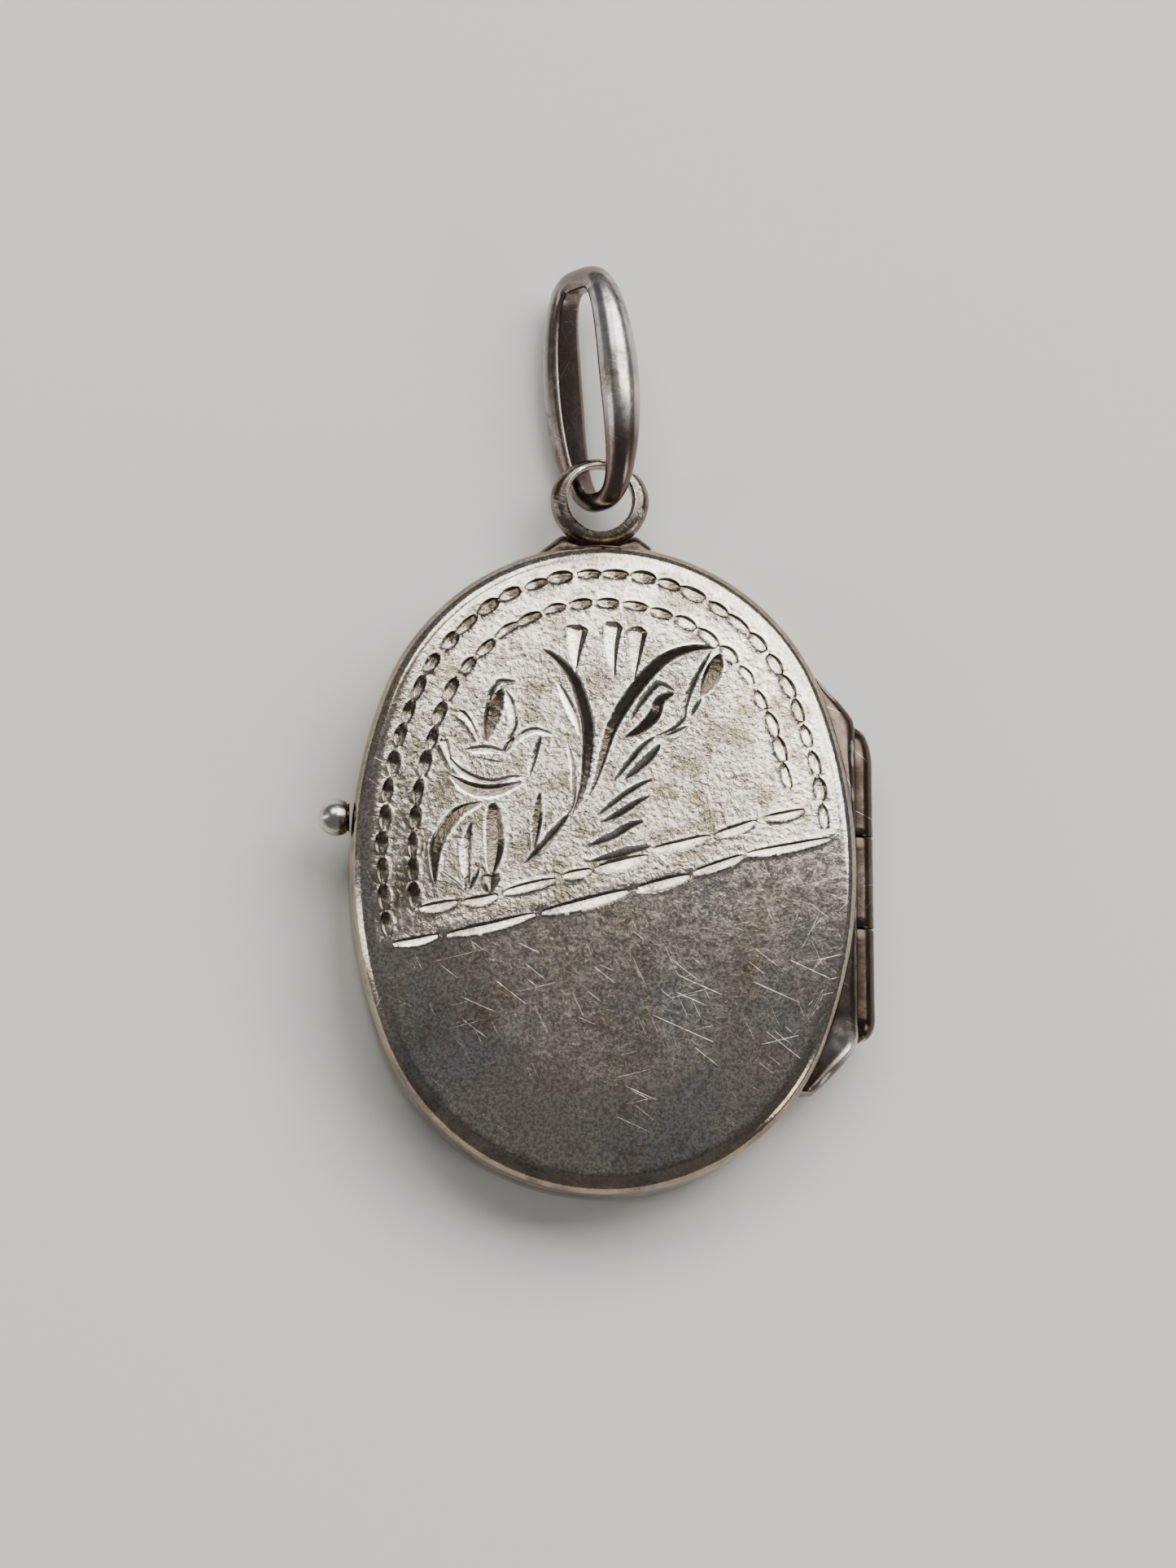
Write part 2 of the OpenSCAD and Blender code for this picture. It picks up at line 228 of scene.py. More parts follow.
# Rough is the span of roughness; amount and scale are the tarnish's
silverLooks = {
    "coverSilver": {
        "clean": (0.72, 0.70, 0.66, 1), "tarnish": (0.42, 0.35, 0.28, 1), "amount": 0.28, "scale": 0.32,
        "rough": (0.09, 0.17), "scratches": 0.06, "scratchScale": 1.0, "bump": 0.12, "wear": 0.5,
    },
    "bailSilver": {
        "clean": (0.50, 0.49, 0.485, 1), "tarnish": (0.12, 0.08, 0.06, 1), "amount": 0.35, "scale": 0.4,
        "rough": (0.19, 0.29), "scratches": 0.08, "scratchScale": 1.2, "bump": 0.10, "wear": 0.3,
    },
    "eyeSilver": {
        "clean": (0.72, 0.70, 0.68, 1), "tarnish": (0.17, 0.13, 0.10, 1), "amount": 0.55, "scale": 0.7,
        "rough": (0.15, 0.36), "scratches": 0.15, "scratchScale": 1.3, "bump": 0.14, "wear": 0.8,
    },
    "hingeSilver": {
        "clean": (0.34, 0.31, 0.29, 1), "tarnish": (0.13, 0.10, 0.08, 1), "amount": 0.7, "scale": 0.25,
        "rough": (0.16, 0.30), "scratches": 0.02, "scratchScale": 1.0, "bump": 0.10, "wear": 0.4,
    },
    "innerSilver": {
        "clean": (0.78, 0.76, 0.72, 1), "tarnish": (0.34, 0.27, 0.19, 1), "amount": 0.42, "scale": 0.45,
        "rough": (0.20, 0.40), "scratches": 0.16, "scratchScale": 0.9, "bump": 0.10, "wear": 0.6,
    },
}

# Tints that all the silvers share
silverTints = {
    "bluish": (0.64, 0.655, 0.69, 1), "warm": (0.72, 0.66, 0.57, 1), "mottle": (0.42, 0.38, 0.33, 1),
    "bright": (0.86, 0.83, 0.78, 1), "rubbed": (0.92, 0.90, 0.86, 1), "scratch": (0.93, 0.91, 0.88, 1),
    "grime": (0.045, 0.03, 0.022, 1),
}

# Only on the covers: the matted zone and its dark threads, the plain face, the cuts' patina and painted
# shade, the lips' painted highlight, and the walls' painted brown reflection
coverLook = {
    "matLight": (0.88, 0.815, 0.69, 1), "matDark": (0.34, 0.30, 0.22, 1), "thread": (0.30, 0.24, 0.15, 1),
    "plain": (1.0, 0.95, 0.88, 1), "grain": (0.48, 0.45, 0.43, 1), "hair": (0.80, 0.77, 0.73, 1),
    "cut": (0.085, 0.065, 0.045, 1), "lip": (0.97, 0.95, 0.90, 1),
    "wallReflectionDark": (0.10, 0.07, 0.05, 1), "wallReflectionLight": (0.34, 0.26, 0.18, 1), "rimShade": 0.6, "rollReflection": 0.75,
    "matScale": 4.6, "matHeight": 3.8, "matGloss": 0.04,
}


# faceMap says how far a point is matted, dark in a cut (patina and painted shade), bright on a lip (painted
# highlight), or brown on a wall (painted reflection)
def paintCover(tree, place, colour, roughness, height):
    marks = addNode(tree, "ShaderNodeAttribute", attribute_name="faceMap")
    part = addNode(tree, "ShaderNodeSeparateColor", {0: marks.outputs["Color"]}).outputs
    zone, cut, lip, wall = part[0], part[1], part[2], marks.outputs["Alpha"]
    cloud = spanNode(tree, noiseNode(tree, place, 0.9, 4.0, 0.65), 0.42, 0.62)
    matted = mixNode(tree, cloud, coverLook["matLight"], coverLook["matDark"])
    threads = mathNode(tree, "COMPARE", noiseNode(tree, place, 2.4, 3.0, 0.6, 0.8), 0.5, 0.03)
    matted = tintNode(tree, threads, 0.45, matted, coverLook["thread"])
    plain = mixNode(tree, 1.0, colour, coverLook["plain"], "MULTIPLY")
    grain = spanNode(tree, noiseNode(tree, place, 8.0, 4.0, 0.75), 0.40, 0.60, 0.0, 0.9)
    plain = mixNode(tree, grain, plain, coverLook["grain"], "MULTIPLY")
    hairs = useGroup(tree, "scratch", Vector=place, Scale=1.9, Amount=0.2)["Mask"]
    plain = tintNode(tree, hairs, 0.35, plain, coverLook["hair"])
    colour = tintNode(tree, zone, 0.9, plain, matted)
    # Painted reflection: streaks of brown on the walls stand in for a mirrored wooden surround
    streaks = spanNode(tree, noiseNode(tree, place, 0.5, 4.0, 0.6, 0.5), 0.35, 0.65)
    brownReflection = mixNode(tree, streaks, coverLook["wallReflectionDark"], coverLook["wallReflectionLight"])
    colour = tintNode(tree, wall, 0.9, colour, brownReflection)
    # Patina and painted shade darken the cuts
    colour = mixNode(tree, cut, colour, coverLook["cut"])
    # Painted highlight: the raised lips beside the cuts are whitened
    colour = mixNode(tree, lip, colour, coverLook["lip"])
    relief = useGroup(tree, "ground", Vector=place, Scale=coverLook["matScale"])["Height"]
    relief = mathNode(tree, "MULTIPLY", relief, zone)
    height = mathNode(tree, "MULTIPLY_ADD", relief, coverLook["matHeight"], height)
    roughness = mathNode(tree, "MULTIPLY_ADD", zone, -coverLook["matGloss"], roughness)
    return colour, roughness, height


# toneMap says how far a point is dull with tarnish and painted shade (red), bright with painted highlight and
# solder (green) or grimy (blue)
def makeSilver(name):
    look = silverLooks[name]
    material, tree, shader, place = newMaterial(name)
    shader.inputs["Metallic"].default_value = 1.0
    patches = useGroup(tree, "tarnish", Vector=place, Scale=look["scale"], Amount=look["amount"])
    scratches = useGroup(tree, "scratch", Vector=place, Scale=look["scratchScale"],
                         Amount=look["scratches"])["Mask"]
    worn = useGroup(tree, "wear", Vector=place, Amount=look["wear"])
    ground = useGroup(tree, "ground", Vector=place, Scale=2.6)["Height"]
    hue = noiseNode(tree, place, 0.22, 2.0)
    colour = mixNode(tree, spanNode(tree, hue, 0.5, 0.7), look["clean"], silverTints["bluish"])
    colour = mixNode(tree, spanNode(tree, hue, 0.46, 0.3), colour, silverTints["warm"])
    tones = addNode(tree, "ShaderNodeAttribute", attribute_name="toneMap")
    tone = addNode(tree, "ShaderNodeSeparateColor", {0: tones.outputs["Color"]}).outputs
    tarnishAndShade = mathNode(tree, "MAXIMUM", patches["Mask"], mathNode(tree, "MULTIPLY", tone[0], 0.9))
    colour = mixNode(tree, tarnishAndShade, colour, look["tarnish"])
    colour = mixNode(tree, tone[1], colour, silverTints["bright"])
    colour = tintNode(tree, patches["Mottle"], 0.4, colour, silverTints["mottle"], "MULTIPLY")
    colour = mixNode(tree, mathNode(tree, "MAXIMUM", worn["Grime"], tone[2]), colour, silverTints["grime"])
    colour = mixNode(tree, worn["Wear"], colour, silverTints["rubbed"])
    colour = tintNode(tree, scratches, 0.35, colour, silverTints["scratch"])
    roughness = spanNode(tree, patches["Mottle"], 0.3, 0.7, look["rough"][0], look["rough"][1])
    height = mathNode(tree, "MULTIPLY_ADD", scratches, -0.25, mathNode(tree, "MULTIPLY", ground, 0.5))
    if name == "coverSilver":
        colour, roughness, height = paintCover(tree, place, colour, roughness, height)
    dressShader(tree, shader, colour, roughness, height, look["bump"], 0.12)
    return material


silver = {name: makeSilver(name) for name in silverLooks}

windowLook = {"clear": (0.96, 0.97, 0.95, 1), "haze": (0.78, 0.74, 0.66, 1), "rough": (0.04, 0.35),
              "dust": 0.5, "scratches": 0.12, "index": 1.49, "bump": 0.1}


def makeWindowGlass():
    material, tree, shader, place = newMaterial("clearWindow")
    shader.inputs["Transmission Weight"].default_value = 1.0
    shader.inputs["IOR"].default_value = windowLook["index"]
    dust = spanNode(tree, noiseNode(tree, place, 1.4, 6.0, 0.7), 0.55, 0.8)
    scratches = useGroup(tree, "scratch", Vector=place, Scale=1.4, Amount=windowLook["scratches"])["Mask"]
    haze = mathNode(tree, "MAXIMUM", mathNode(tree, "MULTIPLY", dust, windowLook["dust"]), scratches)
    colour = mixNode(tree, haze, windowLook["clear"], windowLook["haze"])
    roughness = spanNode(tree, haze, 0.0, 1.0, *windowLook["rough"])
    dressShader(tree, shader, colour, roughness, haze, windowLook["bump"], 0.1)
    return material


cardLook = {"pale": (0.80, 0.72, 0.58, 1), "stain": (0.52, 0.38, 0.24, 1), "fibre": (0.46, 0.36, 0.26, 1),
            "speck": (0.30, 0.18, 0.09, 1), "rough": (0.75, 0.95), "bump": 0.35}


def makeAgedCard():
    material, tree, shader, place = newMaterial("agedCard")
    patches = useGroup(tree, "tarnish", Vector=place, Scale=0.25, Amount=0.5)
    fibre = noiseNode(tree, place, 9.0, 6.0, 0.7, 0.6)
    specks = spanNode(tree, noiseNode(tree, place, 3.2, 3.0), 0.66, 0.72)
    colour = mixNode(tree, patches["Mask"], cardLook["pale"], cardLook["stain"])
    colour = tintNode(tree, fibre, 0.3, colour, cardLook["fibre"], "MULTIPLY")
    colour = tintNode(tree, specks, 0.7, colour, cardLook["speck"])
    roughness = spanNode(tree, fibre, 0.2, 0.8, *cardLook["rough"])
    dressShader(tree, shader, colour, roughness, fibre, cardLook["bump"], 0.06)
    return material


windowGlass = makeWindowGlass()
agedCard = makeAgedCard()
print("materials made")


# From here on lengths are in millimetres, and buildPiece turns them into metres
def boxMm(node):
    low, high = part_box(node)
    return Vector(low) / mm, Vector(high) / mm


# A mesh that rides on a body and stands for a node; edges sharper than sharp degrees stay crisp
def buildPiece(name, vertices, faces, material, body, node, sharp, tones=None):
    mesh = bpy.data.meshes.new(name)
    mesh.from_pydata([(x * mm, y * mm, z * mm) for x, y, z in vertices], [], faces)
    if tones:
        marks = mesh.color_attributes.new("toneMap", "FLOAT_COLOR", "POINT")
        marks.data.foreach_set("color", np.array(tones, dtype=float).ravel())
    mesh.validate()
    mesh.shade_smooth()
    mesh.set_sharp_from_angle(angle=math.radians(sharp))
    mesh.materials.append(material)
    piece = bpy.data.objects.new(name, mesh)
    bpy.context.scene.collection.objects.link(piece)
    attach(piece, body)
    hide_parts(node)
    return piece


# Faces between rings of equal length; each ring closes on itself
def ringFaces(rings, size, closed=False):
    faces = []
    for ring in range(rings if closed else rings - 1):
        here, there = ring * size, (ring + 1) % rings * size
        for step in range(size):
            after = (step + 1) % size
            faces.append((here + step, here + after, there + after, there + step))
    return faces


# The two faces that close the first and the last ring
def endCaps(rings, size):
    return [tuple(reversed(range(size))), tuple(range((rings - 1) * size, rings * size))]


def flipped(faces):
    return [tuple(reversed(face)) for face in faces]


def clamp(value):
    return min(1, max(0, value))


# Soft noise from -1 to 1 at a place, for dents and unevenness
def ripple(x, y, z, scale, seed=0.0):
    return noise.noise(Vector((x * scale + seed, y * scale - seed, z * scale + 2 * seed)))


# The outline is four arcs: two long sides that meet two round ends at arcTurn
caseShape = {"endRadius": 9.17, "roll": 0.65, "wall": 0.4, "rise": 0.2, "plate": 0.5, "domeRun": 3.75,
             "chamfer": 0.1, "bulge": 0.8, "gutter": 0.95, "gutterReach": 6.3, "dent": 0.012}

frontLow, frontHigh = boxMm("front_cover")
knuckleLow, knuckleHigh = boxMm("hinge_knuckle_middle")
halfW, halfH = -frontLow.x, frontHigh.y
seamZ = frontLow.z
halfT = frontHigh.z - seamZ
endR = caseShape["endRadius"]
endOff = halfH - endR
sideR = (halfW ** 2 + halfH ** 2 - 2 * halfH * endR) / (2 * (halfW - endR))
sideOff = sideR - halfW
arcTurn = math.atan2(endOff, sideOff)
hingeX = (knuckleLow.x + knuckleHigh.x) / 2
hingeY = (knuckleLow.y + knuckleHigh.y) / 2
rollTop = halfT - caseShape["rise"]


# Points round the outline, anticlockwise from the foot of the hinge's side, each with its outward direction
def ovalStations(spacing):
    stations = []
    for flip in (1, -1):
        for centreX, centreY, radius, start, turn in ((-sideOff, 0, sideR, -arcTurn, 2 * arcTurn),
                                                      (0, endOff, endR, arcTurn, math.pi - 2 * arcTurn)):
            count = round(radius * turn / spacing)
            for step in range(count):
                angle = start + turn * step / count
                nx, ny = flip * math.cos(angle), flip * math.sin(angle)
                stations.append((flip * centreX + radius * nx, flip * centreY + radius * ny, nx, ny))
    return stations


# How far points lie inside the outline
def insetOf(x, y):
    x, y = np.abs(x), np.abs(y)
    besideEnd = y * sideOff - endOff * (x + sideOff) >= 0
    return np.where(besideEnd, endR - np.hypot(x, y - endOff), sideR - np.hypot(x + sideOff, y))


def domeHeight(x, y):
    run = np.clip((insetOf(x, y) - caseShape["roll"]) / caseShape["domeRun"], 0, 1)
    return rollTop + caseShape["rise"] * np.sin(run * math.pi / 2)


# Lifts a wall point out of the gutter that the hinge barrel lies in
def clearGutter(x, y, z):
    aside = abs(x - hingeX)
    if aside >= caseShape["gutter"] or abs(y - hingeY) > caseShape["gutterReach"]:
        return z
    return max(z, math.sqrt(caseShape["gutter"] ** 2 - aside ** 2))


# The cover's section as (distance from the outline, height): over the roll, down the wall and back inside
def panSection():
    roll = caseShape["roll"]
    points = []
    for step in range(11):
        angle = math.radians(90 - 9 * step)
        points.append((-roll + roll * math.cos(angle), rollTop - roll + roll * math.sin(angle)))
    wall = caseShape["wall"]
    inner = halfT - caseShape["plate"]
    points += [(0, 1.0), (0, caseShape["bulge"]), (-0.012, 0.5), (-0.03, 0.25), (-0.055, 0.08),
               (-caseShape["chamfer"], 0), (-0.25, 0), (-wall, 0), (-wall, 0.7), (-wall, inner - 0.25),
               (-wall - 0.08, inner - 0.07), (-wall - 0.25, inner)]
    return points


# Rows of scoops follow the outline from one place to another; a dash is (x0, y0, x1, y1)
engraving = {
    "slope": 0.45, "step": 0.05, "lip": 0.014, "lipWidth": 0.06,
    "ground": 0.075, "clear": 0.036, "plainGround": 0.32, "pebble": 0.0045, "halfDarkTo": 3,
    "border": [{"inset": 1.23, "from": (-8.5, -2.9), "to": (8.5, 1.45), "pitch": 1.06, "length": 1.02,
                "width": 0.5},
               {"inset": 2.4, "from": (-7.5, -1.9), "to": (7.05, 3.0), "pitch": 1.06, "length": 0.98,
                "width": 0.46}],
    "dashes": [(-8.15, -3.15, -6.35, -2.8), (-6.1, -2.8, -2.65, -1.95), (-2.5, -1.95, 0.9, -1.05),
               (1.2, -1.0, 3.25, -0.45), (3.4, -0.35, 5.35, 0.35), (5.45, 0.4, 8.7, 1.05),
               (-7.15, -1.8, -5.65, -1.5), (-5.45, -1.5, -4.1, -1.25), (-3.95, -1.15, -1.85, -0.6),
               (-1.65, -0.5, -0.5, -0.25), (-0.35, -0.2, 1.65, 0.3), (1.85, 0.55, 4.1, 1.1),
               (4.2, 1.1, 5.85, 1.7), (6.15, 1.8, 7.75, 2.15)],
    "dashWidth": 0.46,
}

# A cut is (width, lean, points); lean puts its valley towards the left edge (+) or the right one (-)
sprayCuts = {
    "stem": (0.52, -0.4, [(-2.4, 8.4), (-1.85, 8.0), (-1.25, 7.3), (-0.9, 6.4), (-0.65, 5.15), (-0.7, 3.85),
                          (-0.9, 2.75), (-1.3, 1.8)]),
    "stemSide": (0.36, 0.3, [(-1.8, 7.05), (-1.45, 6.35), (-1.1, 5.6), (-0.95, 4.95)]),
    "stemFork": (0.26, 0.3, [(-1.45, 4.65), (-1.3, 4.15), (-1.2, 3.55), (-1.25, 2.4), (-1.45, 1.9)]),
    "stemFoot": (0.38, 0.3, [(-1.4, 1.95), (-2.0, 1.25), (-2.8, 0.35), (-3.15, 0.0)]),
    "arc": (0.56, 0.4, [(4.35, 8.5), (3.4, 8.45), (2.45, 8.1), (1.65, 7.4), (0.85, 6.35), (0.25, 5.3),
                        (-0.1, 4.2), (-0.4, 3.2), (-0.65, 2.65)]),
    "leafEdge": (0.28, 0.3, [(4.15, 8.35), (3.75, 7.7), (3.35, 6.9), (3.1, 6.2), (3.0, 5.65), (2.55, 5.25),
                            (1.95, 5.0)]),
    "leafCut": (0.7, -0.6, [(4.5, 8.25), (4.2, 7.45), (3.75, 6.55)]),
    "leafTip": (0.22, 0.0, [(3.75, 6.5), (3.55, 6.2), (3.35, 5.8)]),
    "budEdge": (0.3, 0.3, [(2.7, 6.8), (2.15, 7.05), (1.8, 6.8), (1.3, 6.15), (1.0, 5.6)]),
    "budCut": (0.52, 0.4, [(2.7, 6.7), (2.15, 6.4), (1.9, 5.8), (1.35, 5.25), (0.75, 4.95)]),
    "sprigA": (0.34, 0.3, [(2.25, 4.95), (2.75, 5.1), (3.25, 5.4)]),
    "sprigB": (0.28, 0.3, [(1.95, 5.0), (1.4, 4.55), (0.9, 3.95), (0.35, 3.25)]),
    "sprigC": (0.42, 0.4, [(2.15, 4.7), (1.6, 4.05), (0.75, 3.3)]),
    "sprigD": (0.28, 0.3, [(1.85, 3.3), (1.45, 3.15), (0.8, 2.75), (0.2, 2.3), (-0.3, 1.9)]),
    "sprigE": (0.32, 0.3, [(1.7, 2.65), (1.3, 2.45), (0.5, 1.95), (-0.2, 1.6)]),
    "sprigF": (0.36, 0.4, [(1.5, 1.7), (0.95, 1.5), (0.2, 1.05), (-0.7, 0.7)]),
    "sprigG": (0.32, 0.4, [(1.75, 0.7), (1.1, 0.55), (0.2, 0.3), (-0.75, 0.05)]),
    "petalA": (1.0, 0.5, [(-1.05, 9.35), (-1.15, 8.45), (-1.15, 7.5)]),
    "petalB": (0.86, 0.5, [(0.35, 9.5), (0.25, 8.5), (0.35, 7.1)]),
    "petalC": (0.86, 0.5, [(1.3, 9.3), (1.2, 8.35), (1.1, 7.1)]),
    "tulipMid": (0.7, -0.5, [(-3.95, 6.8), (-4.3, 5.9), (-4.55, 4.75)]),
    "tulipEdge": (0.28, 0.0, [(-3.4, 7.1), (-4.05, 7.1), (-4.35, 6.75), (-4.5, 6.05), (-4.65, 5.05)]),
    "tulipSide": (0.44, 0.4, [(-3.85, 6.75), (-3.6, 6.05), (-3.55, 5.4), (-3.8, 4.75)]),
    "tulipLeft": (0.42, 0.4, [(-5.65, 5.9), (-5.3, 5.55), (-5.0, 5.0), (-4.8, 4.5)]),
    "tulipOuter": (0.44, 0.4, [(-6.25, 4.85), (-6.1, 4.3), (-5.9, 3.65)]),
    "tulipBase": (0.34, 0.3, [(-5.4, 4.4), (-4.5, 4.45), (-3.8, 4.3)]),
    "tulipLine": (0.12, 0.0, [(-5.05, 4.15), (-4.45, 4.0), (-3.85, 3.95)]),
    "tulipNick": (0.24, 0.0, [(-3.5, 4.95), (-3.75, 4.65), (-3.95, 4.3)]),
    "tulipCurl": (0.3, 0.3, [(-3.8, 4.3), (-3.35, 4.9), (-2.7, 5.2), (-2.0, 5.0)]),
    "tulipTail": (0.28, 0.3, [(-2.45, 5.0), (-2.7, 4.3), (-2.95, 3.35)]),
    "cup": (0.34, 0.3, [(-6.1, 4.25), (-5.7, 3.7), (-5.05, 3.3), (-4.35, 3.15), (-3.55, 3.35),
                        (-3.05, 3.35)]),
    "crescent": (0.56, 0.4, [(-6.0, 3.4), (-5.3, 2.95), (-4.4, 2.8), (-3.15, 3.15)]),
    "budArc": (0.58, -0.5, [(-4.75, 2.35), (-5.6, 2.0), (-6.15, 1.35), (-6.55, 0.5), (-6.55, -0.85)]),
    "budCore": (0.44, 0.4, [(-5.15, 1.6), (-5.35, 0.5), (-5.3, -0.9)]),
    "budForkA": (0.22, 0.0, [(-5.25, -0.1), (-5.35, -0.6), (-5.4, -1.1)]),
    "budForkB": (0.22, 0.0, [(-4.85, -0.15), (-5.05, -0.6), (-5.25, -1.05)]),
    "budLine": (0.12, 0.0, [(-6.35, -0.3), (-5.85, -0.65), (-5.4, -1.05)]),
    "bar": (0.8, 0.3, [(-4.35, 2.35), (-4.25, 1.0), (-4.4, -0.4)]),
    "block": (0.84, 0.0, [(-4.4, -0.45), (-4.45, -1.2)]),
    "post": (0.44, 0.3, [(-2.5, 2.8), (-2.6, 1.95), (-2.8, 0.5)]),
}

# Cuts that are wedges, and cuts painted dark from edge to edge with patina and painted shade
wedgeCuts = ("petalA", "petalB", "petalC", "block", "tulipLeft", "tulipOuter")
darkCuts = ("stem", "arc", "leafCut", "budCut", "budArc", "bar", "post", "stemFork", "crescent", "tulipMid")


# A smooth line through given points, as evenly spaced points
def smoothLine(points, step):
    dense = []
    count = len(points)
    for index in range(count - 1):
        p = [Vector(points[max(0, min(count - 1, index + k))]) for k in (-1, 0, 1, 2)]
        for part in range(12):
            t = part / 12
            dense.append(0.5 * (2 * p[1] + (p[2] - p[0]) * t + (2 * p[0] - 5 * p[1] + 4 * p[2] - p[3]) * t * t
                                + (3 * p[1] - p[0] - 3 * p[2] + p[3]) * t ** 3))
    dense = np.array([tuple(p) for p in dense] + [points[-1]], dtype=float)
    along = np.concatenate([[0], np.cumsum(np.hypot(*np.diff(dense, axis=0).T))])
    want = np.linspace(0, along[-1], max(6, round(along[-1] / step)))
    return np.stack([np.interp(want, along, dense[:, 0]), np.interp(want, along, dense[:, 1])], axis=1)


# Form 0 is pointed at both ends, 1 is a wedge that is wide at its start, and 2 is a blunt scoop
def cutHalfWidth(t, width, form):
    t = np.clip(t, 0, 1)
    if form == 1:
        return width / 2 * np.minimum(1, t / 0.08) ** 0.5 * (1 - t) ** 0.75
    return width / 2 * np.sin(math.pi * t ** 0.9) ** (0.6 if form == 0 else 0.4)


# A row of scoops along the outline, each a little different
def borderCuts(row, rng):
    stations = np.array(ovalStations(0.02))
    spots = stations[:, :2] - stations[:, 2:] * row["inset"]
    start = int(np.argmin(np.hypot(*(spots - row["to"]).T)))
    end = int(np.argmin(np.hypot(*(spots - row["from"]).T)))
    spots = np.roll(spots, -start, axis=0)[:(end - start) % len(spots)]
    along = np.concatenate([[0], np.cumsum(np.hypot(*np.diff(spots, axis=0).T))])
    count = round(along[-1] / row["pitch"])
    cuts = []
    for index in range(count):
        middle = (index + 0.5) * along[-1] / count + rng.uniform(-0.07, 0.07)
        half = row["length"] / 2 * rng.uniform(0.88, 1.1)
        ends = [(np.interp(middle + k * half, along, spots[:, 0]) + rng.uniform(-0.04, 0.04),
                 np.interp(middle + k * half, along, spots[:, 1]) + rng.uniform(-0.04, 0.04))
                for k in (-1, 0, 1)]
        # Painted shade: scoops left of halfDarkTo are dark over their first half, the others over their far
        # end
        tone = "half" if ends[1][0] < engraving["halfDarkTo"] else "end"
        cuts.append((row["width"] * rng.uniform(0.85, 1.12), -0.55, 2, tone, ends))
    return cuts


# Every cut as (width, lean, form, tone, line)
def allCuts():
    rng = random.Random(7)
    cuts = []
    for name, (width, lean, points) in sprayCuts.items():
        form = 1 if name in wedgeCuts else 2 if name == "bar" else 0
        tone = "dark" if name in darkCuts else "edge" if name in wedgeCuts else "line"
        cuts.append((width, lean, form, tone, points))
    for row in engraving["border"]:
        cuts += borderCuts(row, rng)
    for x0, y0, x1, y1 in engraving["dashes"]:
        middle = ((x0 + x1) / 2 + rng.uniform(-0.05, 0.05), (y0 + y1) / 2 - 0.05 + rng.uniform(-0.04, 0.04))
        width = engraving["dashWidth"] * rng.uniform(0.9, 1.1)
        cuts.append((width, 0.55, 2, "edge", [(x0, y0), middle, (x1, y1)]))
    return [(*cut[:4], smoothLine(cut[4], engraving["step"])) for cut in cuts]


# How dark a cut is painted: patina along its valley, and painted shade all over, at its edges, or over one
# half or end of it
def cutPatinaAndShade(tone, off, half, valley, along):
    dark = np.exp(-((off - valley) / (0.04 + 0.28 * half)) ** 2)
    if tone == "dark":
        return np.maximum(dark, 0.95 * np.clip((half - np.abs(off)) / 0.06, 0, 1))
    if tone == "line":
        return dark
    dark = np.maximum(0.4 * dark, np.exp(-((np.abs(off) - half + 0.01) / 0.05) ** 2))
    if tone == "edge":
        return dark
    ramp = (0.58 - along) / 0.1 if tone == "half" else (along - 0.72) / 0.1
    return np.maximum(dark, np.clip(ramp, 0, 1) * np.clip((half - np.abs(off)) / 0.05, 0, 1))


# Depth of the deepest cut at each point, the raised lip beside the cuts, and the patina and painted shade in
# them
def carve(points, cuts):
    depth, lip, patinaAndShade = np.zeros(len(points)), np.zeros(len(points)), np.zeros(len(points))
    for width, lean, form, tone, line in cuts:
        margin = width / 2 + 0.2
        near = np.where(np.all((points > line.min(axis=0) - margin) & (points < line.max(axis=0) + margin),
                               axis=1))[0]
        if not len(near):
            continue
        start, run = line[:-1], np.diff(line, axis=0)
        gap = points[near][:, None, :] - start[None]
        share = np.clip((gap * run).sum(2) / (run ** 2).sum(1), 0, 1)
        aside = gap - share[..., None] * run
        away = np.hypot(aside[..., 0], aside[..., 1])
        best = np.argmin(away, axis=1)
        rows = np.arange(len(near))
        side = np.sign(run[best, 0] * aside[rows, best, 1] - run[best, 1] * aside[rows, best, 0])
        off = side * away[rows, best]
        along = (best + share[rows, best]) / len(start)
        half = cutHalfWidth(along, width, form)
        valley = lean * half
        safe = np.maximum(half, 1e-6)
        wedge = np.where(off < valley, (off + half) / (valley + safe), (half - off) / (safe - valley))
        sunk = np.where(np.abs(off) < half, engraving["slope"] * half * wedge, 0)
        depth[near] = np.maximum(depth[near], sunk)
        burr = np.exp(-((np.abs(off) - half) / engraving["lipWidth"]) ** 2) * np.clip(half / 0.15, 0, 1)
        lip[near] = np.maximum(lip[near], burr)
        dark = cutPatinaAndShade(tone, off, half, valley, along) * np.clip(half / 0.08, 0, 1)
        patinaAndShade[near] = np.maximum(patinaAndShade[near], dark)
    return depth, lip, patinaAndShade


# Points along the valley and both edges of every cut, so that its facets are crisp
def creasePoints(cuts):
    spots = []
    for width, lean, form, tone, line in cuts:
        share = np.linspace(0, 1, len(line))
        half = cutHalfWidth(share, width, form)
        run = np.gradient(line, axis=0)
        left = np.stack([-run[:, 1], run[:, 0]], axis=1) / np.hypot(run[:, 0], run[:, 1])[:, None]
        for shift in (lean * half, half, -half):
            spots.append(line + left * shift[:, None])
    return np.concatenate(spots)


# Uneven rows of points over the oval's box, of which keep picks some
def scatter(step, keep, rng):
    spots = []
    rows = round(2 * halfH / step / 0.866)
    columns = round(2 * halfW / step)
    for row in range(rows):
        for column in range(columns):
            x = -halfW + (column + 0.5 * (row % 2)) * step + rng.uniform(-0.2, 0.2) * step
            y = -halfH + row * step * 0.866 + rng.uniform(-0.2, 0.2) * step
            spots.append((x, y))
    spots = np.array(spots)
    return spots[keep(spots)]


# Height of the lower dashed line over the face: the engraved ground lies above it
def groundLine(x):
    return -1.05 + 0.245 * (x - 0.6)


